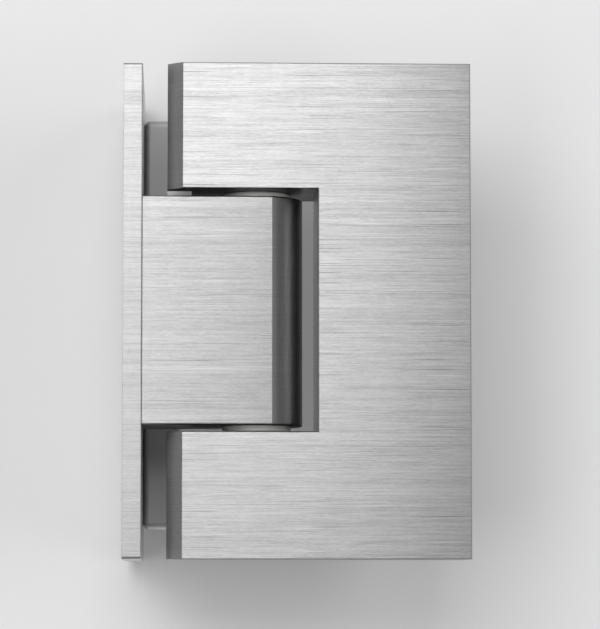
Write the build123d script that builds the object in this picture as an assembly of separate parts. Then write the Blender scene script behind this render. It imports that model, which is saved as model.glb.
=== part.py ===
from build123d import *
import os

# Wall-to-glass hinge for a frameless shower door, in millimetres.
# X = 0 is the wall and +X runs into the door. The pivot axis is parallel to Z and lies
# in the plane Y = 0, which is also the middle of the glass. Z = 0 is half the height.

# ---- clamp: two plates that grip the glass ----
clamp_height = 90.0
clamp_width = 55.0
clamp_thickness = 20.0
clamp_left = 8.0  # gap to the wall, with room for the corners to turn
plate_thickness = 5.0
bevel_width = 2.8  # along X, on the edges beside the wall
bevel_depth = 2.8  # along Y
edge_break = 0.15
cutout_right = 35.3
cutout_height = 44.0
split_gap = 0.4  # left between the two plates where they meet in the glass notch
boss_left = 12.4
boss_right = 44.0
boss_height = 62.0
boss_corner = 1.5
glass_thickness = 8.0
gasket_thickness = 1.0
gasket_inset = 0.6
gasket_gap = 0.6  # from the bosses

# ---- pivot ----
pivot_x = 24.4
pin_diameter = 10.0
pin_end_diameter = 8.0
pin_length = 61.2
pin_flat_depth = 1.4
pin_flat_length = 22.0
pin_running_gap = 0.05
bush_diameter = 12.5
bush_length = 7.1
thrust_gap = 0.1

# ---- wall side ----
wall_plate_height = 90.0
wall_plate_width = 50.0
wall_plate_thickness = 3.5
wall_plate_front = -9.0
wall_plate_corner = 0.5
knuckle_height = 41.6
knuckle_thickness = 17.0
knuckle_flat_end = 27.0
knuckle_tip = 32.8
knuckle_edge = 0.35
bar_height = 78.0
bar_width = 15.0
bar_thickness = 7.5
bar_middle_y = 29.5
bar_edge = 1.2
wall_hole_diameter = 5.5
wall_hole_head = 11.0
wall_hole_spacing = 28.0

# ---- detent in the knuckle ----
plunger_diameter = 6.0
plunger_length = 8.0
plunger_cup_diameter = 4.6
plunger_cup_depth = 4.5
plunger_gap = 0.05
plunger_z = 5.5
plunger_standoff = 5.3  # tip to pivot axis with the plunger pushed back
spring_diameter = 4.2
spring_wire = 0.7
spring_turns = 5
plug_diameter = 8.0
plug_length = 3.5
plug_recess = 0.2
plug_socket = 4.0

# ---- screws ----
clamp_screw_diameter = 5.0
clamp_screw_head = 9.6
clamp_screw_length = 16.0
clamp_screw_socket = 3.0
clamp_screw_columns = (16.6, 39.65)
clamp_screw_z = 26.5
knuckle_screw_diameter = 5.0
knuckle_screw_head = 9.6
knuckle_screw_length = 14.0
knuckle_screw_z = 14.5
bar_screw_diameter = 4.0
bar_screw_head = 7.6
bar_screw_length = 9.0
bar_screw_z = 14.0
screw_clearance = 0.4
thread_gap = 0.05  # on the diameter of a tapped hole
screw_rim = 0.3  # short cylinder above the cone of a countersunk head

clamp_right = clamp_left + clamp_width
half_clamp = clamp_thickness / 2
plate_inner = half_clamp - plate_thickness


def box_between(low, high):
    """Solid block given by its lowest and highest corners."""
    size = [b - a for a, b in zip(low, high)]
    middle = [(a + b) / 2 for a, b in zip(low, high)]
    return Pos(*middle) * Box(*size)


def rod_x(diameter, x_start, x_end, y, z):
    """Cylinder along X."""
    return Pos((x_start + x_end) / 2, y, z) * Rot(0, 90, 0) * Cylinder(diameter / 2, x_end - x_start)


def rod_y(diameter, y_start, y_end, x, z):
    """Cylinder along Y."""
    return Pos(x, (y_start + y_end) / 2, z) * Rot(90, 0, 0) * Cylinder(diameter / 2, y_end - y_start)


def rod_z(diameter, z_start, z_end, x=pivot_x):
    """Cylinder along Z in the plane Y = 0."""
    return Pos(x, 0, (z_start + z_end) / 2) * Cylinder(diameter / 2, z_end - z_start)


def turned(points):
    """Solid of revolution about Z from (radius, height) corners."""
    face = make_face(Polyline(*[(r, 0, z) for r, z in points], close=True))
    return revolve(face, Axis.Z, 360)


def countersunk_head(head, shank, depth):
    """Cone and rim that a countersunk head fills, with its top at Z = 0 and pointing down."""
    cone = (head - shank) / 2
    return turned([(0, 0), (head / 2, 0), (head / 2, -screw_rim), (shank / 2, -screw_rim - cone),
                   (shank / 2, -depth), (0, -depth)])


def countersunk_screw(head, shank, length, socket):
    """Countersunk screw with a hexagon socket, its top at Z = 0 and its tip down."""
    cone = (head - shank) / 2
    tip = 0.5
    body = turned([(0, 0), (head / 2, 0), (head / 2, -screw_rim), (shank / 2, -screw_rim - cone),
                   (shank / 2, tip - length), (shank / 2 - tip, -length), (0, -length)])
    hexagon = RegularPolygon(socket / 2, 6, major_radius=False)
    return body - extrude(Pos(0, 0, 0) * hexagon, -0.6 * socket)


def from_wall(y, z):
    """Place that turns a piece pointing down along Z so that it points along +X from the wall."""
    return Pos(0, y, z) * Rot(0, -90, 0)


def from_rear(x, z):
    """Place that turns a piece pointing down along Z so that it points along -Y from the rear."""
    return Pos(x, half_clamp, z) * Rot(-90, 0, 0)


# ---- wall side ----
def make_wall_plate():
    half = wall_plate_height / 2
    rear = wall_plate_front + wall_plate_width
    plate = box_between((0, wall_plate_front, -half), (wall_plate_thickness, rear, half))
    plate = fillet(plate.edges().filter_by(Axis.X), wall_plate_corner)
    plate = fillet(plate.faces().sort_by(Axis.X)[-1].edges(), 0.25)
    for z in (-wall_hole_spacing, 0, wall_hole_spacing):
        plate -= rod_x(wall_hole_diameter, -1, wall_plate_thickness + 1, bar_middle_y, z)
    for z in (-knuckle_screw_z, knuckle_screw_z):
        plate -= from_wall(0, z) * countersunk_head(knuckle_screw_head, knuckle_screw_diameter + screw_clearance, 9)
    for z in (-bar_screw_z, bar_screw_z):
        head = countersunk_head(bar_screw_head, bar_screw_diameter + screw_clearance, 9)
        plate -= from_wall(bar_middle_y, z) * head
    return plate


def make_fixing_bar():
    x_wall = wall_plate_thickness
    x_front = x_wall + bar_thickness
    half = bar_height / 2
    bar = box_between((x_wall, bar_middle_y - bar_width / 2, -half), (x_front, bar_middle_y + bar_width / 2, half))
    bar = fillet(bar.edges(), bar_edge)
    for z in (-wall_hole_spacing, 0, wall_hole_spacing):
        head = countersunk_head(wall_hole_head, wall_hole_diameter, bar_thickness + 1)
        bar -= Pos(x_front, bar_middle_y, z) * Rot(0, 90, 0) * head
    for z in (-bar_screw_z, bar_screw_z):
        depth = bar_screw_length + 0.3
        bar -= rod_x(bar_screw_diameter + thread_gap, 0, depth, bar_middle_y, z)
    return bar


def make_knuckle():
    half = knuckle_thickness / 2
    x_wall = wall_plate_thickness
    outline = Polyline((knuckle_flat_end, half), (x_wall, half), (x_wall, -half), (knuckle_flat_end, -half))
    outline += ThreePointArc((knuckle_flat_end, -half), (knuckle_tip, 0), (knuckle_flat_end, half))
    block = extrude(make_face(outline), knuckle_height / 2, both=True)
    ends = block.faces().sort_by(Axis.Z)
    rim = (ends[0].edges() + ends[-1].edges()).filter_by(lambda edge: edge.center().X > x_wall + 0.1)
    block = fillet(rim, knuckle_edge)
    # pin bore, with a seat for a bush at each end
    block -= rod_z(pin_diameter + 0.4, -knuckle_height, knuckle_height)
    seat = knuckle_height / 2 - (bush_length - (cutout_height - knuckle_height) / 2 + thrust_gap)
    block -= rod_z(bush_diameter, seat, knuckle_height)
    block -= rod_z(bush_diameter, -knuckle_height, -seat)
    for z in (-plunger_z, plunger_z):
        block -= rod_x(plunger_diameter + 2 * plunger_gap, 0, pivot_x, 0, z)
        block -= rod_x(plug_diameter, 0, x_wall + plug_recess + plug_length, 0, z)
    for z in (-knuckle_screw_z, knuckle_screw_z):
        block -= rod_x(knuckle_screw_diameter + thread_gap, 0, knuckle_screw_length + 0.5, 0, z)
    return block


def make_bush():
    """Plain bush that stands proud of the knuckle and takes the thrust of the clamp."""
    top = cutout_height / 2 - thrust_gap
    bottom = top - bush_length
    bore = pin_diameter / 2 + pin_running_gap
    rim = bush_diameter / 2
    return Pos(pivot_x, 0, 0) * turned([(bore, bottom), (rim, bottom), (rim, top - 0.3), (rim - 0.3, top),
                                        (bore, top)])


# ---- detent ----
def make_plunger(z):
    """Cup-shaped plunger with its closed end towards the pin."""
    tip = pivot_x - plunger_standoff
    radius = plunger_diameter / 2
    cup = plunger_cup_diameter / 2
    body = turned([(0, 0), (radius - 0.6, 0), (radius, -0.6), (radius, -plunger_length), (cup, -plunger_length),
                   (cup, plunger_cup_depth - plunger_length), (0, plunger_cup_depth - plunger_length)])
    return Pos(tip, 0, z) * Rot(0, 90, 0) * body


def make_spring(z):
    """Compression spring between the plug and the bottom of the plunger's cup, ends ground flat."""
    start = wall_plate_thickness + plug_recess + plug_length
    end = pivot_x - plunger_standoff - plunger_length + plunger_cup_depth
    length = end - start
    mean_radius = (spring_diameter - spring_wire) / 2
    path = Helix(length / spring_turns, length, mean_radius)
    section = Plane(origin=path @ 0, z_dir=path % 0) * Circle(spring_wire / 2)
    coil = sweep(section, path=path, is_frenet=True)
    coil = coil & Pos(0, 0, length / 2) * Box(10, 10, length)
    return Pos(start, 0, z) * Rot(0, 90, 0) * coil


def make_spring_plug(z):
    radius = plug_diameter / 2
    body = turned([(0, 0), (radius - 0.4, 0), (radius, -0.4), (radius, 0.4 - plug_length),
                   (radius - 0.4, -plug_length), (0, -plug_length)])
    body -= extrude(RegularPolygon(plug_socket / 2, 6, major_radius=False), -2.0)
    return Pos(wall_plate_thickness + plug_recess, 0, z) * Rot(0, -90, 0) * body


# ---- door side ----
def make_clamp_half():
    """Plate for the front, Y from -half_clamp: bevelled edge, cut-out and half of the pin cradles."""
    half = clamp_height / 2
    profile = Polyline((clamp_left, -plate_inner), (clamp_left, bevel_depth - half_clamp),
                       (clamp_left + bevel_width, -half_clamp), (clamp_right, -half_clamp),
                       (clamp_right, -plate_inner), close=True)
    plate = extrude(make_face(profile), half, both=True)
    boss = box_between((boss_left, -plate_inner - 0.5, -boss_height / 2), (boss_right, -split_gap / 2, boss_height / 2))
    boss = fillet(boss.edges().filter_by(Axis.Y), boss_corner)
    plate += boss
    plate -= box_between((0, -clamp_thickness, -cutout_height / 2), (cutout_right, clamp_thickness, cutout_height / 2))
    face_edges = plate.faces().sort_by(Axis.Y)[0].edges()
    plate = chamfer(face_edges.filter_by(lambda edge: edge.center().X > clamp_left + bevel_width + 0.1), edge_break)
    plate -= rod_z(pin_end_diameter, -clamp_height, -cutout_height / 2 + 0.001)
    plate -= rod_z(pin_end_diameter, cutout_height / 2 - 0.001, clamp_height)
    return plate


def clamp_screw_places():
    return [(x, z) for z in (clamp_screw_z, -clamp_screw_z) for x in clamp_screw_columns]


def make_front_plate():
    plate = make_clamp_half()
    tip = half_clamp - clamp_screw_length - 0.5
    for x, z in clamp_screw_places():
        plate -= rod_y(clamp_screw_diameter + thread_gap, tip, 1, x, z)
    return plate


def make_rear_plate():
    plate = mirror(make_clamp_half(), Plane.XZ)
    for x, z in clamp_screw_places():
        hole = countersunk_head(clamp_screw_head, clamp_screw_diameter + screw_clearance, clamp_thickness)
        plate -= from_rear(x, z) * hole
    return plate


def make_front_gasket():
    """Sheet as wide as the clamp, cut away round the bosses."""
    half = clamp_height / 2 - gasket_inset
    low = -glass_thickness / 2 - gasket_thickness
    high = -glass_thickness / 2
    sheet = box_between((clamp_left + gasket_inset, low, -half), (clamp_right - gasket_inset, high, half))
    notch = boss_height / 2 + gasket_gap
    return sheet - box_between((0, low - 1, -notch), (boss_right + gasket_gap, high + 1, notch))


def make_pivot_pin():
    half = cutout_height / 2
    end = pin_length / 2
    middle = pin_diameter / 2
    tip = pin_end_diameter / 2
    pin = turned([(0, -end), (tip - 0.5, -end), (tip, 0.5 - end), (tip, -half), (middle, -half),
                  (middle, half), (tip, half), (tip, end - 0.5), (tip - 0.5, end), (0, end)])
    # flats for the closed door and for the door held open to either side
    for angle in (180, 90, -90):
        flat = Pos(middle - pin_flat_depth + 5, 0, 0) * Box(10, 20, pin_flat_length)
        pin -= Rot(0, 0, angle) * flat
    return Pos(pivot_x, 0, 0) * pin


def build_parts():
    front_gasket = make_front_gasket()
    upper_bush = make_bush()
    knuckle_screw = countersunk_screw(knuckle_screw_head, knuckle_screw_diameter, knuckle_screw_length, 3.0)
    bar_screw = countersunk_screw(bar_screw_head, bar_screw_diameter, bar_screw_length, 2.5)
    clamp_screw = countersunk_screw(clamp_screw_head, clamp_screw_diameter, clamp_screw_length, clamp_screw_socket)
    nodes = {
        "wall_plate": make_wall_plate(),
        "fixing_bar": make_fixing_bar(),
        "knuckle": make_knuckle(),
        "upper_bush": upper_bush,
        "lower_bush": mirror(upper_bush, Plane.XY),
        "front_plate": make_front_plate(),
        "rear_plate": make_rear_plate(),
        "front_gasket": front_gasket,
        "rear_gasket": mirror(front_gasket, Plane.XZ),
        "pivot_pin": make_pivot_pin(),
    }
    for name, side in (("upper", 1), ("lower", -1)):
        nodes[name + "_plunger"] = make_plunger(side * plunger_z)
        nodes[name + "_spring"] = make_spring(side * plunger_z)
        nodes[name + "_spring_plug"] = make_spring_plug(side * plunger_z)
        nodes["knuckle_screw_" + name] = from_wall(0, side * knuckle_screw_z) * knuckle_screw
        nodes["bar_screw_" + name] = from_wall(bar_middle_y, side * bar_screw_z) * bar_screw
    for number, (x, z) in enumerate(clamp_screw_places(), start=1):
        nodes["clamp_screw_" + str(number)] = from_rear(x, z) * clamp_screw
    return nodes


os.makedirs("parts", exist_ok=True)
for node_name, solid in build_parts().items():
    export_step(solid, "parts/" + node_name + ".step")
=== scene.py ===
import math
import bpy
import numpy as np
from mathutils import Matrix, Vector


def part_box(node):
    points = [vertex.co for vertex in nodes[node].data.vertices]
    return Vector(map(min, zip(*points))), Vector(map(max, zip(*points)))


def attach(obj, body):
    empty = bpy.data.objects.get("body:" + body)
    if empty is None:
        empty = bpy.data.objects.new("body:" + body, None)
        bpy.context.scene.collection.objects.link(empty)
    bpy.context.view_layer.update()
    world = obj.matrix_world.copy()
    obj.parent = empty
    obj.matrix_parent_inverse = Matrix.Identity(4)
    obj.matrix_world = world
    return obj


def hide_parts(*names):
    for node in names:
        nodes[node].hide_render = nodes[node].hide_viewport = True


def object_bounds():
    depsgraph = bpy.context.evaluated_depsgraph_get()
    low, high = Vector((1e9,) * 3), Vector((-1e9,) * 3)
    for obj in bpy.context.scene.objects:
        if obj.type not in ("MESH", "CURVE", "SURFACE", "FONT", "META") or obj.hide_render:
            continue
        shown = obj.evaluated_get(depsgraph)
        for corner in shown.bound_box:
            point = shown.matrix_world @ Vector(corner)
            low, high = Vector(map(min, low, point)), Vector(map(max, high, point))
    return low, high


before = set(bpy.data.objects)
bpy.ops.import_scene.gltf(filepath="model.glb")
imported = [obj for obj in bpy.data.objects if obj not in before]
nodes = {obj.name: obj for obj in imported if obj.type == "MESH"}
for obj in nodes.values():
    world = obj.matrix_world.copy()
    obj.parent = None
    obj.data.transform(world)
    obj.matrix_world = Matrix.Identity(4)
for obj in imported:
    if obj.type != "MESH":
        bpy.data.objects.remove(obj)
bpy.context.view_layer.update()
mm = 0.001
print("frame loaded:", len(nodes), "nodes")


def linearColor(hexText):
    # sRGB hex to linear RGBA, by the standard sRGB curve
    channels = [int(hexText[i:i + 2], 16) / 255 for i in (1, 3, 5)]
    linear = [c / 12.92 if c <= 0.04045 else ((c + 0.055) / 1.055) ** 2.4 for c in channels]
    return (*linear, 1.0)


def newMaterial(name):
    material = bpy.data.materials.new(name)
    material.use_nodes = True
    material.node_tree.nodes.clear()
    return material, material.node_tree


def addNode(tree, kind, settings=None, inputs=None):
    # settings are the node's own properties; an input is a value, or the output socket that feeds it; a Mix
    # node's sockets go by number: 2 and 3 are its values, 4 and 5 its vectors, 6 and 7 its colors
    node = tree.nodes.new("ShaderNode" + kind)
    for key, value in (settings or {}).items():
        setattr(node, key, value)
    for key, value in (inputs or {}).items():
        if isinstance(value, bpy.types.NodeSocket):
            tree.links.new(value, node.inputs[key])
        else:
            node.inputs[key].default_value = value
    return node


def dress(nodeNames, material):
    for name in nodeNames:
        mesh = nodes[name].data
        mesh.materials.clear()
        mesh.materials.append(material)


# plates and knuckle; lengths in mm
brushedValues = {
    "light": "#c4c4c4",
    "dark": "#a8a8a8",
    "roughness": (0.31, 0.35),  # on the light and on the dark streaks
    "anisotropy": 0.92,
    "edgeAnisotropy": 0.4,
    # streak length, streak width and weight of each layer of the grain; the grit of a 180 belt is only about
    # 0.08 across, and its streaks are drawn wider than that so that they show
    "layers": ((0.8, 0.11, 0.26), (5.0, 0.13, 0.30), (40.0, 0.15, 0.30), (90.0, 1.6, 0.14)),
    "layerShift": (3.1, 7.7, 5.3),  # each layer reads the noise this much further on
    "grainRange": (0.38, 0.60),  # grain at which the tone is all dark and all light
    # length, width and color of the deeper scratches, real marks whose tone is painted light: the first ones
    # darker as painted shade, the next ones lighter as painted glints
    "scratchesShadeAndGlint": ((22.0, 0.10, "#7b7b7b"), (13.0, 0.10, "#cdcdcd")),
    "scratchShift": 9,  # the first scratches read it this many such steps further on
    "scratchRange": (0.70, 0.80),  # noise at which a scratch starts and is full
    # a thin darker line along each edge, painted shade for the dark that a rounded edge reflects; start and
    # full are cosines of the turn there
    "paintedEdgeShade": {"reach": 0.22, "start": 0.995, "full": 0.85, "samples": 6, "color": "#6a6a6a",
                 "weight": 0.85},
    "looksUp": 0.7,  # share of the normal along Z, over which a face counts as level
    "looksForward": 0.95,  # share of the normal along Y, over which a face is one of the flats
    "fineShare": 0.35,  # faces beside the flats are ground finer
    "cutOutShade": "#5c5c5c",  # level faces in the cut-out are darkened with painted shade, the shade that falls between them there
    "cutOut": 23.0,  # half the height in which those faces lie
    "groove": {"depth": 0.004, "strength": 0.5},
    "outOfTrue": 0.0,  # degrees that the belt leaned as it ground the faces
    # the plates' inner faces, within reach of the middle of the glass, keep the arcs of a face mill, whose
    # path runs up the clamp at pathX
    "inside": {"reach": 5.3, "color": "#d6d6d6", "roughness": 0.50, "cutter": 32.0, "pathX": 35.5,
               "feed": 0.4, "depth": 0.006, "strength": 0.5},
}


def faceMasks(tree, place, normal, values):
    # each mask is 1 on its own faces and 0 on the others
    look = addNode(tree, "SeparateXYZ", inputs={0: normal})
    point = addNode(tree, "SeparateXYZ", inputs={0: place})
    upright = addNode(tree, "Math", {"operation": "ABSOLUTE"}, {0: look.outputs["Z"]})
    forward = addNode(tree, "Math", {"operation": "ABSOLUTE"}, {0: look.outputs["Y"]})
    fromMiddle = addNode(tree, "Math", {"operation": "ABSOLUTE"}, {0: point.outputs["Z"]})
    fromGlass = addNode(tree, "Math", {"operation": "ABSOLUTE"}, {0: point.outputs["Y"]})
    level = addNode(tree, "Math", {"operation": "GREATER_THAN"},
                    {0: upright.outputs[0], 1: values["looksUp"]})
    flat = addNode(tree, "Math", {"operation": "GREATER_THAN"},
                   {0: forward.outputs[0], 1: values["looksForward"]})
    inCutOut = addNode(tree, "Math", {"operation": "LESS_THAN"},
                       {0: fromMiddle.outputs[0], 1: values["cutOut"] * mm})
    nearGlass = addNode(tree, "Math", {"operation": "LESS_THAN"},
                        {0: fromGlass.outputs[0], 1: values["inside"]["reach"] * mm})
    # painted shade: the level faces inside the cut-out are darkened
    cutOutShade = addNode(tree, "Math", {"operation": "MULTIPLY"}, {0: level.outputs[0], 1: inCutOut.outputs[0]})
    inside = addNode(tree, "Math", {"operation": "MULTIPLY"}, {0: nearGlass.outputs[0], 1: flat.outputs[0]})
    drawn = addNode(tree, "Math", {"operation": "SUBTRACT"}, {0: flat.outputs[0], 1: inside.outputs[0]})
    return {"level": level.outputs[0], "flat": flat.outputs[0], "cutOutShade": cutOutShade.outputs[0],
            "inside": inside.outputs[0], "drawn": drawn.outputs[0]}


def streaks(tree, place, masks, size, shift, detail, values):
    # noise drawn out level on upright faces, and along X on level faces; size is length and width in mm
    along, across = (1 / (side * mm) for side in size)
    stretch = addNode(tree, "Mix", {"data_type": "VECTOR"}, {
        "Factor": masks["level"], 4: (along, along, across), 5: (along, across, along)})
    moved = tuple(step * shift for step in values["layerShift"])
    point = addNode(tree, "VectorMath", {"operation": "MULTIPLY_ADD"},
                    {0: place, 1: stretch.outputs[1], 2: moved})
    noise = addNode(tree, "TexNoise", inputs={"Vector": point.outputs[0], "Scale": 1.0, "Detail": detail})
    return noise.outputs[0]


def beltGrain(tree, place, masks, strength, values):
    # grain = 0.5 + (sum of weight * layer - 0.5) * strength
    total = 0.0
    for number, (length, width, weight) in enumerate(values["layers"]):
        layer = streaks(tree, place, masks, (length, width), number, 1.0, values)
        share = addNode(tree, "Math", {"operation": "MULTIPLY_ADD"}, {0: layer, 1: weight, 2: total})
        total = share.outputs[0]
    around = addNode(tree, "Math", {"operation": "SUBTRACT"}, {0: total, 1: 0.5})
    grain = addNode(tree, "Math", {"operation": "MULTIPLY_ADD"},
                    {0: around.outputs[0], 1: strength, 2: 0.5})
    return grain.outputs[0]


def brushedColor(tree, place, normal, masks, strength, tone, values):
    # grain, then scratches with painted shade and painted glints, then a painted dark line along each edge,
    # then the cut-out's level faces darkened with painted shade and the inner faces' colour over it all
    color = addNode(tree, "Mix", {"data_type": "RGBA"}, {
        "Factor": tone, 6: linearColor(values["dark"]), 7: linearColor(values["light"])})
    start, full = values["scratchRange"]
    # the scratches are real marks; their darker and lighter colours are painted shade and painted glints
    for number, (length, width, hexText) in enumerate(values["scratchesShadeAndGlint"]):
        mark = streaks(tree, place, masks, (length, width), values["scratchShift"] + number, 0.0, values)
        scratch = addNode(tree, "MapRange", inputs={"Value": mark, "From Min": start, "From Max": full})
        share = addNode(tree, "Math", {"operation": "MULTIPLY"}, {0: scratch.outputs[0], 1: strength})
        color = addNode(tree, "Mix", {"data_type": "RGBA"}, {
            "Factor": share.outputs[0], 6: color.outputs[2], 7: linearColor(hexText)})
    # painted shade: a dark line along each edge, for the dark that the edge reflects
    line = values["paintedEdgeShade"]
    rounded = addNode(tree, "Bevel", {"samples": line["samples"]}, {"Radius": line["reach"] * mm})
    agreement = addNode(tree, "VectorMath", {"operation": "DOT_PRODUCT"},
                        {0: rounded.outputs[0], 1: normal})
    edgeShadeShare = addNode(tree, "MapRange", inputs={
        "Value": agreement.outputs["Value"], "From Min": line["start"], "From Max": line["full"],
        "To Max": line["weight"]})
    for share, hexText in ((edgeShadeShare.outputs[0], line["color"]), (masks["cutOutShade"], values["cutOutShade"]),
                           (masks["inside"], values["inside"]["color"])):
        color = addNode(tree, "Mix", {"data_type": "RGBA"}, {
            "Factor": share, 6: color.outputs[2], 7: linearColor(hexText)})
    return color.outputs[2]


def millArcs(tree, place, inside):
    # arc = height - sqrt(cutter radius^2 - (distance from its path)^2), and one mark for each feed
    point = addNode(tree, "SeparateXYZ", inputs={0: place})
    fromPath = addNode(tree, "Math", {"operation": "SUBTRACT"},
                       {0: point.outputs["X"], 1: inside["pathX"] * mm})
    squared = addNode(tree, "Math", {"operation": "MULTIPLY"},
                      {0: fromPath.outputs[0], 1: fromPath.outputs[0]})
    rest = addNode(tree, "Math", {"operation": "SUBTRACT"},
                   {0: (inside["cutter"] * mm) ** 2, 1: squared.outputs[0]})
    reach = addNode(tree, "Math", {"operation": "SQRT"}, {0: rest.outputs[0]})
    arc = addNode(tree, "Math", {"operation": "SUBTRACT"}, {0: point.outputs["Z"], 1: reach.outputs[0]})
    step = addNode(tree, "CombineXYZ", inputs={"X": arc.outputs[0]})
    marks = addNode(tree, "TexNoise", inputs={"Vector": step.outputs[0], "Scale": 1 / (inside["feed"] * mm),
                                              "Detail": 1.0})
    bump = addNode(tree, "Bump", inputs={"Strength": inside["strength"], "Distance": inside["depth"] * mm,
                                         "Height": marks.outputs[0]})
    return bump.outputs[0]


def beltGrooves(tree, normal, grain, values):
    # the normal leans towards X by the belt's lean, and the grain makes the grooves
    lean = (math.tan(math.radians(values["outOfTrue"])), 0, 0)
    leaning = addNode(tree, "VectorMath", {"operation": "ADD"}, {0: normal, 1: lean})
    leaned = addNode(tree, "VectorMath", {"operation": "NORMALIZE"}, {0: leaning.outputs[0]})
    groove = values["groove"]
    bump = addNode(tree, "Bump", inputs={"Strength": groove["strength"], "Distance": groove["depth"] * mm,
                                         "Height": grain, "Normal": leaned.outputs[0]})
    return bump.outputs[0]


def brushedSteel(name, values):
    # 304 stainless, linished on a belt: straight level streaks, each highlight drawn out across them
    material, tree = newMaterial(name)
    place = addNode(tree, "TexCoord").outputs["Object"]
    normal = addNode(tree, "NewGeometry").outputs["Normal"]
    masks = faceMasks(tree, place, normal, values)
    strength = addNode(tree, "MapRange", inputs={"Value": masks["flat"], "To Min": values["fineShare"]})
    grain = beltGrain(tree, place, masks, strength.outputs[0], values)
    low, high = values["grainRange"]
    tone = addNode(tree, "MapRange", inputs={"Value": grain, "From Min": low, "From Max": high})
    color = brushedColor(tree, place, normal, masks, strength.outputs[0], tone.outputs[0], values)
    onLight, onDark = values["roughness"]
    belt = addNode(tree, "MapRange", inputs={"Value": tone.outputs[0], "To Min": onDark, "To Max": onLight})
    rough = addNode(tree, "Mix", inputs={0: masks["inside"], 2: belt.outputs[0],
                                         3: values["inside"]["roughness"]})
    relief = addNode(tree, "Mix", {"data_type": "VECTOR"}, {
        "Factor": masks["inside"], 4: beltGrooves(tree, normal, grain, values),
        5: millArcs(tree, place, values["inside"])})
    stretched = addNode(tree, "MapRange", inputs={
        "Value": masks["drawn"], "To Min": values["edgeAnisotropy"], "To Max": values["anisotropy"]})
    across = addNode(tree, "Mix", {"data_type": "VECTOR"}, {
        "Factor": masks["level"], 4: (0, 0, 1), 5: (0, 1, 0)})
    shader = addNode(tree, "BsdfPrincipled", inputs={
        "Base Color": color, "Metallic": 1.0, "Roughness": rough.outputs[0],
        "Anisotropic": stretched.outputs[0], "Tangent": across.outputs[1], "Normal": relief.outputs[1]})
    addNode(tree, "OutputMaterial", inputs={"Surface": shader.outputs[0]})
    return material


# fixing bar; lengths in mm; the dents of 0.25 mm beads are drawn as wide as the beads, so that they show
castValues = {"light": "#e0e0e0", "dark": "#d2d2d2", "roughness": 0.60, "blastSize": 0.25, "depth": 0.006,
              "strength": 0.5, "softEdge": 0.3, "edgeSamples": 8}


def blastedSteel(name, values):
    # investment-cast stainless, bead blasted: an even grey with a soft sheen
    material, tree = newMaterial(name)
    place = addNode(tree, "TexCoord").outputs["Object"]
    noise = addNode(tree, "TexNoise", inputs={"Vector": place, "Scale": 1 / (values["blastSize"] * mm),
                                              "Detail": 2.0})
    color = addNode(tree, "Mix", {"data_type": "RGBA"}, {
        "Factor": noise.outputs[0], 6: linearColor(values["dark"]), 7: linearColor(values["light"])})
    softened = addNode(tree, "Bevel", {"samples": values["edgeSamples"]},
                       {"Radius": values["softEdge"] * mm})
    dents = addNode(tree, "Bump", inputs={"Strength": values["strength"], "Distance": values["depth"] * mm,
                                          "Height": noise.outputs[0], "Normal": softened.outputs[0]})
    shader = addNode(tree, "BsdfPrincipled", inputs={
        "Base Color": color.outputs[2], "Metallic": 1.0, "Roughness": values["roughness"],
        "Normal": dents.outputs[0]})
    addNode(tree, "OutputMaterial", inputs={"Surface": shader.outputs[0]})
    return material


# pin, plungers, screws and springs; depth and feed in mm, where feed is the lathe's for each turn, and on
# the springs the spacing of the lines that drawing leaves along the wire, wider than real so that they show
turnedValues = {"light": "#d0d0d0", "dark": "#bcbcbc", "roughness": 0.26, "feed": 0.12, "depth": 0.004,
                "strength": 0.5}
springValues = {"light": "#a3a29f", "dark": "#8e8d8a", "roughness": 0.34, "feed": 0.30, "depth": 0.002,
                "strength": 0.5}


def ringSteel(name, values, along):
    # stainless turned or drawn: fine rings round the axis; along gives how far along it a point lies
    material, tree = newMaterial(name)
    step = addNode(tree, "CombineXYZ", inputs={"X": along(tree)})
    noise = addNode(tree, "TexNoise", inputs={"Vector": step.outputs[0], "Scale": 1 / (values["feed"] * mm),
                                              "Detail": 1.0})
    color = addNode(tree, "Mix", {"data_type": "RGBA"}, {
        "Factor": noise.outputs[0], 6: linearColor(values["dark"]), 7: linearColor(values["light"])})
    rings = addNode(tree, "Bump", inputs={"Strength": values["strength"], "Distance": values["depth"] * mm,
                                          "Height": noise.outputs[0]})
    shader = addNode(tree, "BsdfPrincipled", inputs={
        "Base Color": color.outputs[2], "Metallic": 1.0, "Roughness": values["roughness"],
        "Normal": rings.outputs[0]})
    addNode(tree, "OutputMaterial", inputs={"Surface": shader.outputs[0]})
    return material


def alongAxis(axis):
    # distance along one of the model's own axes
    def place(tree):
        point = addNode(tree, "TexCoord").outputs["Object"]
        parts = addNode(tree, "SeparateXYZ", inputs={0: point})
        return parts.outputs[axis]
    return place


def alongProfile(tree):
    # distance along the turned profile, kept in the piece's UV map
    profile = addNode(tree, "UVMap", {"uv_map": "profile"}).outputs["UV"]
    parts = addNode(tree, "SeparateXYZ", inputs={0: profile})
    return parts.outputs["X"]


# bushes; lathe's feed for each turn, depth and scatter in mm, and noise cells per metre across the rings
acetalValues = {"light": "#edece8", "dark": "#e2e1dc", "roughness": 0.38, "ior": 1.48, "feed": 0.15,
                "acrossRings": 60, "depth": 0.006, "strength": 0.4, "milkiness": 0.15, "scatter": 2.0}


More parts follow.
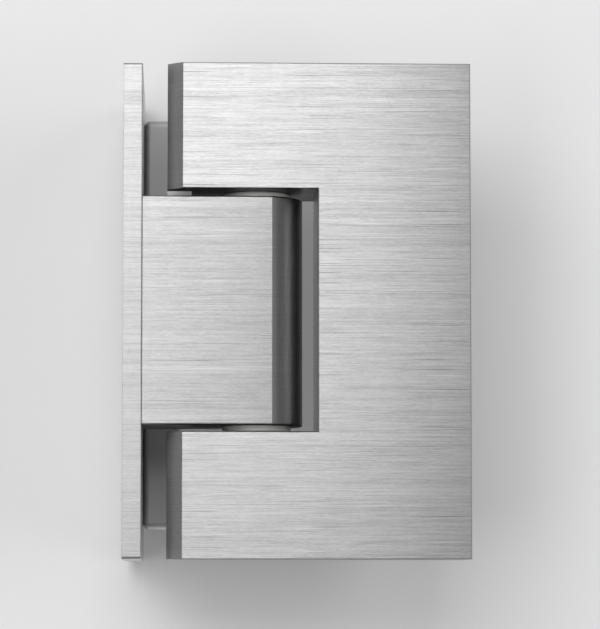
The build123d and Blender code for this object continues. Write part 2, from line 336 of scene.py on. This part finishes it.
def turnedAcetal(name, values):
    # natural acetal rod, turned: milky off-white with a waxy sheen
    material, tree = newMaterial(name)
    place = addNode(tree, "TexCoord").outputs["Object"]
    cells = (values["acrossRings"], values["acrossRings"], 1 / (values["feed"] * mm))
    rings = addNode(tree, "Mapping", inputs={"Vector": place, "Scale": cells})
    noise = addNode(tree, "TexNoise", inputs={"Vector": rings.outputs[0], "Scale": 1.0, "Detail": 2.0})
    color = addNode(tree, "Mix", {"data_type": "RGBA"}, {
        "Factor": noise.outputs[0], 6: linearColor(values["dark"]), 7: linearColor(values["light"])})
    grooves = addNode(tree, "Bump", inputs={"Strength": values["strength"], "Distance": values["depth"] * mm,
                                            "Height": noise.outputs[0]})
    shader = addNode(tree, "BsdfPrincipled", inputs={
        "Base Color": color.outputs[2], "Roughness": values["roughness"], "IOR": values["ior"],
        "Subsurface Weight": values["milkiness"], "Subsurface Radius": (1, 1, 1),
        "Subsurface Scale": values["scatter"] * mm, "Normal": grooves.outputs[0]})
    addNode(tree, "OutputMaterial", inputs={"Surface": shader.outputs[0]})
    return material


# gaskets; grain, depth and scatter in mm
gasketValues = {"light": "#dfe2e1", "dark": "#cfd3d2", "roughness": 0.5, "ior": 1.53, "grain": 0.5,
                "depth": 0.01, "strength": 0.4, "milkiness": 0.2, "scatter": 1.0}


def calenderedPvc(name, values):
    # soft clear PVC sheet, calendered: greyish white, dull, with a faint cloth-like skin
    material, tree = newMaterial(name)
    place = addNode(tree, "TexCoord").outputs["Object"]
    noise = addNode(tree, "TexNoise", inputs={"Vector": place, "Scale": 1 / (values["grain"] * mm),
                                              "Detail": 3.0})
    color = addNode(tree, "Mix", {"data_type": "RGBA"}, {
        "Factor": noise.outputs[0], 6: linearColor(values["dark"]), 7: linearColor(values["light"])})
    skin = addNode(tree, "Bump", inputs={"Strength": values["strength"], "Distance": values["depth"] * mm,
                                         "Height": noise.outputs[0]})
    shader = addNode(tree, "BsdfPrincipled", inputs={
        "Base Color": color.outputs[2], "Roughness": values["roughness"], "IOR": values["ior"],
        "Subsurface Weight": values["milkiness"], "Subsurface Radius": (1, 1, 1),
        "Subsurface Scale": values["scatter"] * mm, "Normal": skin.outputs[0]})
    addNode(tree, "OutputMaterial", inputs={"Surface": shader.outputs[0]})
    return material


# knuckle and wall plate were ground in other fixtures than the clamp, and the wall plate a little brighter
knuckleValues = {**brushedValues, "outOfTrue": 1.9}
wallPlateValues = {**brushedValues, "light": "#cccccc", "dark": "#b0b0b0", "outOfTrue": 2.8}

brushed = brushedSteel("brushedStainless", brushedValues)
brushedKnuckle = brushedSteel("brushedStainlessKnuckle", knuckleValues)
brushedWallPlate = brushedSteel("brushedStainlessWallPlate", wallPlateValues)
cast = blastedSteel("blastedCastStainless", castValues)
turnedPin = ringSteel("turnedStainlessPin", turnedValues, alongAxis("Z"))
turnedPlunger = ringSteel("turnedStainlessPlunger", turnedValues, alongAxis("X"))
turnedScrew = ringSteel("turnedStainlessScrew", turnedValues, alongProfile)
springWire = ringSteel("drawnSpringWire", springValues, alongAxis("X"))
acetal = turnedAcetal("turnedAcetal", acetalValues)
pvc = calenderedPvc("calenderedPvc", gasketValues)
dress(["front_plate", "rear_plate"], brushed)
dress(["knuckle"], brushedKnuckle)
dress(["wall_plate"], brushedWallPlate)
dress(["fixing_bar"], cast)
dress(["pivot_pin"], turnedPin)
dress(["upper_bush", "lower_bush"], acetal)
dress(["front_gasket", "rear_gasket"], pvc)
dress(["upper_plunger", "lower_plunger"], turnedPlunger)
dress(["upper_spring", "lower_spring"], springWire)
print("materials made")


# sizes in mm; the plugs are set screws, whose shank is as wide as their head
screwValues = {
    "columns": 48,
    "socketRows": ((0.15, 0.45), (0.93, 0.03), (1.0, -0.05)),  # share of its radius, depth below its floor
    "socketTop": 0.22,  # depth of the chamfer round the socket
    "lipWidth": 0.12,  # width of that chamfer at the hexagon's corners
    # radius beyond the lip, or beyond the head, and depth below the top
    "lipRows": ((0.0, 0.04), (0.06, 0.0), (0.12, 0.0)),
    "rimRows": ((-0.20, 0.0), (-0.14, 0.0), (-0.04, 0.04)),
    "sideRows": ((0.0, 0.12), (0.0, 0.26), (-0.05, 0.34)),  # only on a head wider than the shank
    "rimHeight": 0.3,  # straight side of the head, over its cone
    "neckEdge": 0.04,  # drop of the shank's top edge under the cone
    # start and end are from the neck and the tip, depth and runOut are shares of the pitch, root and flank
    # are shares of half the pitch, and endShare keeps a trace of the thread where it ends
    "thread": {"rowsPerTurn": 12, "depth": 0.54, "root": 0.22, "flank": 0.66, "start": 0.1, "end": 0.35,
               "runOut": 0.8, "endShare": 0.15},
    "tipRows": ((0.0, 0.02), (-0.1, 0.0)),  # radius beyond the thread's root, height above the tip
    "sharpAngle": 35.0,  # degrees of turn from which an edge is shaded sharp
    "kinds": {
        "clamp_screw": {"head": 9.6, "shank": 5.0, "length": 16.0, "socket": 3.0, "socketDepth": 1.8,
                        "pitch": 0.8},
        "knuckle_screw": {"head": 9.6, "shank": 5.0, "length": 14.0, "socket": 3.0, "socketDepth": 1.8,
                          "pitch": 0.8},
        "bar_screw": {"head": 7.6, "shank": 4.0, "length": 9.0, "socket": 2.5, "socketDepth": 1.5,
                      "pitch": 0.7},
        "spring_plug": {"head": 8.0, "shank": 8.0, "length": 3.5, "socket": 4.0, "socketDepth": 2.0,
                        "pitch": 1.0},
    },
}
# across, over and down the screw, on the wall's side and in the rear plate
wallAxes = ((0, 1, 0), (0, 0, 1), (1, 0, 0))
rearAxes = ((1, 0, 0), (0, 0, 1), (0, -1, 0))


def smoothStep(x):
    # eases from 0 to 1, level at both ends: 3 x^2 - 2 x^3
    x = np.clip(x, 0, 1)
    return x * x * (3 - 2 * x)


def threadRows(kind, angle, neck):
    # radius = shank - depth * (1 - wave) * fade, with the wave's crest at drop / pitch = angle / turn,
    # and a fade that eases the thread in below the neck and out above the tip
    thread, pitch = screwValues["thread"], kind["pitch"]
    start, end = neck + thread["start"], kind["length"] - thread["end"]
    drop = np.linspace(start, end, int((end - neck) / pitch * thread["rowsPerTurn"]))
    turn = (drop[:, None] / pitch - angle / (2 * np.pi)) % 1
    wave = np.clip((np.abs(2 * turn - 1) - thread["root"]) / thread["flank"], 0, 1)
    runOut = (end - drop) / (thread["runOut"] * pitch) + thread["endShare"]
    fade = smoothStep((drop - start) / pitch) * smoothStep(runOut)
    radius = kind["shank"] / 2 - thread["depth"] * pitch * (1 - wave) * fade[:, None]
    return list(zip(radius, drop))


def screwRows(kind):
    # radius and depth below the top of each row, from the bottom of the socket over the head to the tip;
    # socket radius = half the width across flats / cos(angle from the middle of the nearest flat)
    angle = np.arange(screwValues["columns"]) * 2 * np.pi / screwValues["columns"]
    hexagon = kind["socket"] / 2 / np.cos(angle % (np.pi / 3) - np.pi / 6)
    circle = np.ones_like(angle)
    head, shank = kind["head"] / 2, kind["shank"] / 2
    lip = hexagon.max() + screwValues["lipWidth"]
    neck = screwValues["rimHeight"] + head - shank
    core = shank - screwValues["thread"]["depth"] * kind["pitch"]
    rows = [(hexagon * share, kind["socketDepth"] + below) for share, below in screwValues["socketRows"]]
    rows += [(hexagon, screwValues["socketTop"])]
    rows += [(circle * (lip + beyond), drop) for beyond, drop in screwValues["lipRows"]]
    rows += [(circle * (head + beyond), drop) for beyond, drop in screwValues["rimRows"]]
    if head > shank:
        rows += [(circle * (head + beyond), drop) for beyond, drop in screwValues["sideRows"]]
    rows += [(circle * shank, neck + screwValues["neckEdge"])]
    rows += threadRows(kind, angle, neck)
    rows += [(circle * (core + beyond), kind["length"] - above) for beyond, above in screwValues["tipRows"]]
    radius = np.array([row[0] for row in rows])
    drop = np.array([row[1] for row in rows])
    return radius, drop, angle


def turnedPiece(name, radius, drop, angle, top, axes):
    # point = top + drop * down + radius * (cos(angle) * across + sin(angle) * over),
    # on closed rows that end in a point at both ends
    across, over, down = (np.array(axis, float) for axis in axes)
    rows, columns = radius.shape
    ring = np.cos(angle)[None, :, None] * across + np.sin(angle)[None, :, None] * over
    points = radius[:, :, None] * ring + drop[:, None, None] * down
    ends = np.array((drop[0] * down, drop[-1] * down))
    points = (np.concatenate((points.reshape(-1, 3), ends)) * mm + np.array(top)).tolist()
    here = np.arange(columns)
    after = (here + 1) % columns
    row = np.arange(rows - 1)[:, None] * columns
    quads = np.stack((row + here, row + after, row + columns + after, row + columns + here), axis=-1)
    quads = quads.reshape(-1, 4)
    first = np.stack((np.full(columns, rows * columns), after, here), axis=-1)
    last = np.stack((here, after, np.full(columns, rows * columns + 1)), axis=-1)
    last[:, :2] += (rows - 1) * columns
    mesh = bpy.data.meshes.new(name)
    mesh.from_pydata(points, [], quads.tolist() + first.tolist() + last.tolist())
    # u is the way travelled along the profile in metres, and v goes once round
    middle = radius.mean(axis=1)
    travelled = np.concatenate(([0], np.cumsum(np.hypot(np.diff(middle), np.diff(drop)))))
    u = np.concatenate((np.repeat(travelled, columns), (0.0, travelled[-1]))) * mm
    corner = np.concatenate((quads.ravel(), first.ravel(), last.ravel()))
    turns = np.concatenate((np.tile(np.stack((here, here + 1, here + 1, here), axis=-1).ravel(), rows - 1),
                            np.stack((here + 0.5, here + 1, here), axis=-1).ravel(),
                            np.stack((here, here + 1, here + 0.5), axis=-1).ravel())) / columns
    layer = mesh.uv_layers.new(name="profile")
    layer.data.foreach_set("uv", np.stack((u[corner], turns), axis=-1).ravel())
    mesh.shade_smooth()
    mesh.set_sharp_from_angle(angle=math.radians(screwValues["sharpAngle"]))
    piece = bpy.data.objects.new(name, mesh)
    bpy.context.scene.collection.objects.link(piece)
    return piece


def addScrew(node, kindName, body):
    low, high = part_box(node)
    center = (low + high) / 2
    if body == "door":
        top, axes = (center.x, high.y, center.z), rearAxes
    else:
        top, axes = (low.x, center.y, center.z), wallAxes
    radius, drop, angle = screwRows(screwValues["kinds"][kindName])
    piece = turnedPiece(node + "_look", radius, drop, angle, top, axes)
    piece.data.materials.append(turnedScrew)
    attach(piece, body)
    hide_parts(node)


for side in ("upper", "lower"):
    addScrew("knuckle_screw_" + side, "knuckle_screw", "root")
    addScrew("bar_screw_" + side, "bar_screw", "root")
    addScrew(side + "_spring_plug", "spring_plug", "root")
for number in range(1, 5):
    addScrew("clamp_screw_" + str(number), "clamp_screw", "door")
print("screws made")


low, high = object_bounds()
middle = (low + high) / 2
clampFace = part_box("front_plate")[0].y  # the outer face of the clamp

backdropValues = {"color": "#f6f6f6", "ownLight": 0.09, "gap": 0.003, "size": 3.0}  # gap and size in metres


def paperBackdrop(values):
    # pale paper just behind the hinge; the side that looks away from the hinge is clear
    material, tree = newMaterial("matPaper")
    facing = addNode(tree, "NewGeometry").outputs["Backfacing"]
    paper = addNode(tree, "BsdfDiffuse", inputs={"Color": linearColor(values["color"]), "Roughness": 1.0})
    clear = addNode(tree, "BsdfTransparent")
    rays = addNode(tree, "LightPath").outputs
    mirrored = addNode(tree, "Math", {"operation": "ADD"},
                       {0: rays["Is Glossy Ray"], 1: rays["Is Transmission Ray"]})
    seen = addNode(tree, "Math", {"operation": "ADD", "use_clamp": True},
                   {0: rays["Is Camera Ray"], 1: mirrored.outputs[0]})
    glow = addNode(tree, "Math", {"operation": "MULTIPLY"}, {0: seen.outputs[0], 1: values["ownLight"]})
    lit = addNode(tree, "Emission", inputs={"Color": linearColor(values["color"])})
    front = addNode(tree, "MixShader", inputs={0: glow.outputs[0], 1: paper.outputs[0], 2: lit.outputs[0]})
    both = addNode(tree, "MixShader", inputs={0: facing, 1: front.outputs[0], 2: clear.outputs[0]})
    addNode(tree, "OutputMaterial", inputs={"Surface": both.outputs[0]})
    half = values["size"] / 2
    y = high.y + values["gap"]
    corners = [(middle.x - half, y, -half), (middle.x + half, y, -half),
               (middle.x + half, y, half), (middle.x - half, y, half)]
    mesh = bpy.data.meshes.new("backdrop")
    mesh.from_pydata(corners, [], [(0, 1, 2, 3)])
    mesh.materials.append(material)
    sheet = bpy.data.objects.new("backdrop", mesh)
    bpy.context.scene.collection.objects.link(sheet)


paperBackdrop(backdropValues)

# place and size in metres, place from the middle of the clamp's face; level is the brightness of the
# lamp's own face, where 1 is white
lampValues = {
    "keySoftbox": {"place": (-0.253, -0.92, 0.37), "size": (0.78, 0.50), "level": 3.48},
    "rightSoftbox": {"place": (0.645, -1.01, 0.05), "size": (0.32, 0.9), "level": 2.9},
    "topSoftbox": {"place": (-0.10, -0.60, 0.85), "size": (0.7, 0.4), "level": 0.65},
    "floorCard": {"place": (0.10, -0.55, -0.75), "size": (0.9, 0.5), "level": 0.05},
    "leftSoftbox": {"place": (-0.40, -0.90, -0.12), "size": (0.34, 0.46), "level": 2.58},
    "leftCard": {"place": (-1.00, -0.25, 0.10), "size": (0.5, 1.2), "level": 0.18},
}
worldLevel = 0.13  # brightness of the room around, where 1 is white


def addSoftbox(name, values):
    lamp = bpy.data.lights.new(name, "AREA")
    lamp.shape = "RECTANGLE"
    lamp.size, lamp.size_y = values["size"]
    area = values["size"][0] * values["size"][1]
    lamp.energy = values["level"] * 4 * area  # brightness of a lamp's face = energy / (4 * area)
    away = Vector(values["place"])
    box = bpy.data.objects.new(name, lamp)
    box.location = Vector((middle.x, clampFace, middle.z)) + away
    box.rotation_euler = away.to_track_quat("Z", "Y").to_euler()
    bpy.context.scene.collection.objects.link(box)


for name, values in lampValues.items():
    addSoftbox(name, values)

world = bpy.data.worlds.new("studio")
world.use_nodes = True
sky = world.node_tree.nodes["Background"]
sky.inputs["Color"].default_value = (1, 1, 1, 1)
sky.inputs["Strength"].default_value = worldLevel
bpy.context.scene.world = world

# the camera stands in front of the clamp, below its middle and a little to the wall's side; lengths in
# metres, lens and sensor in mm, turns in degrees
cameraValues = {"distance": 0.5700, "sideways": -0.0223, "height": -0.0493, "tiltUp": 4.847,
                "turnRight": 2.290, "lens": 190.26, "sensor": 36.0, "nearest": 0.01}
camera = bpy.data.cameras.new("camera")
camera.sensor_fit = "HORIZONTAL"
camera.sensor_width = cameraValues["sensor"]
camera.lens = cameraValues["lens"]
camera.clip_start = cameraValues["nearest"]
cameraObject = bpy.data.objects.new("camera", camera)
cameraObject.location = (middle.x + cameraValues["sideways"], clampFace - cameraValues["distance"],
                         middle.z + cameraValues["height"])
cameraObject.rotation_euler = (math.radians(90 + cameraValues["tiltUp"]), 0,
                               -math.radians(cameraValues["turnRight"]))
bpy.context.scene.collection.objects.link(cameraObject)
bpy.context.scene.camera = cameraObject
bpy.context.scene.view_settings.view_transform = "Standard"
print("backdrop, light and camera set")
